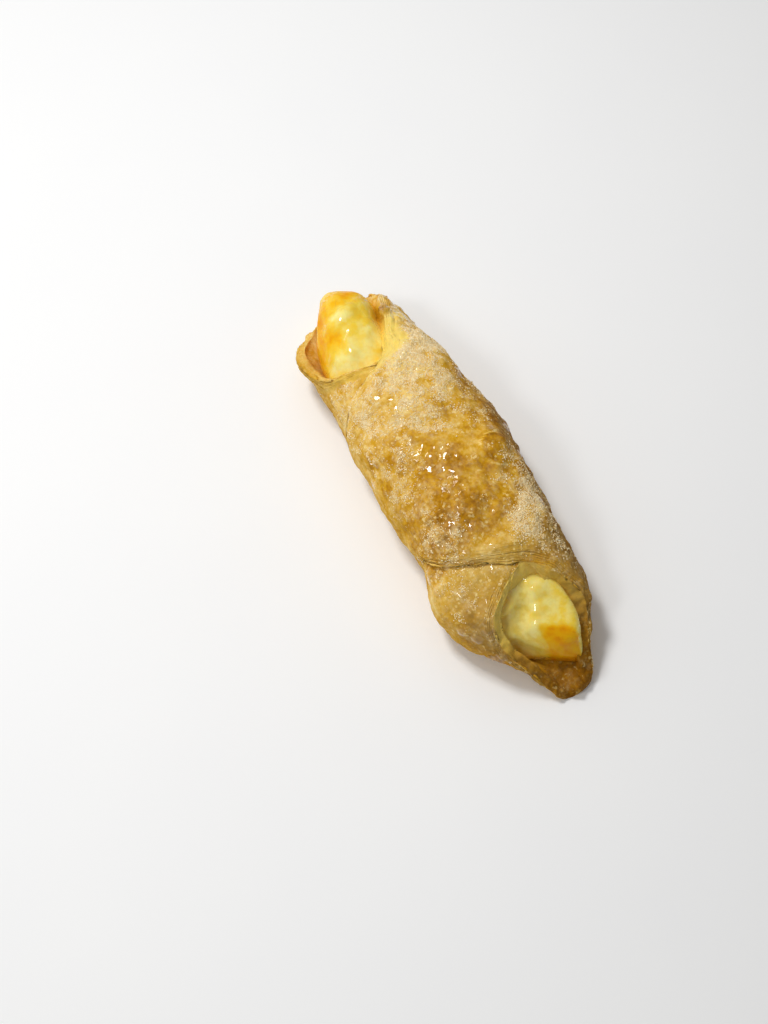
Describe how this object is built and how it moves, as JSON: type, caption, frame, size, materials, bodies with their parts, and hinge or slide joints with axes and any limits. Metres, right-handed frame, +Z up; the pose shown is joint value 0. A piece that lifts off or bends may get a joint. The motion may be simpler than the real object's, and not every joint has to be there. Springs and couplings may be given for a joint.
{
  "type": "quesito",
  "caption": "Baked puff-pastry roll folded over a log of sweet cream cheese that shows in the V at each open end; a glazed, sugared pastry picked up by hand and eaten.",
  "frame": {"origin": "on the resting plane, under the middle of the bounding box", "axes": "+X along the roll towards the end with the blunt cheese, +Y towards the side the top flap comes from, +Z up"},
  "size_m": [0.156, 0.052, 0.0376],
  "materials": {
    "pastry": "golden brown baked crust, partly glazed",
    "cheese": "moist pale yellow baked cream cheese"
  },
  "bodies": {
    "root": {"pastry": "pastry", "cheese_filling": "cheese"}
  },
  "joints": []
}
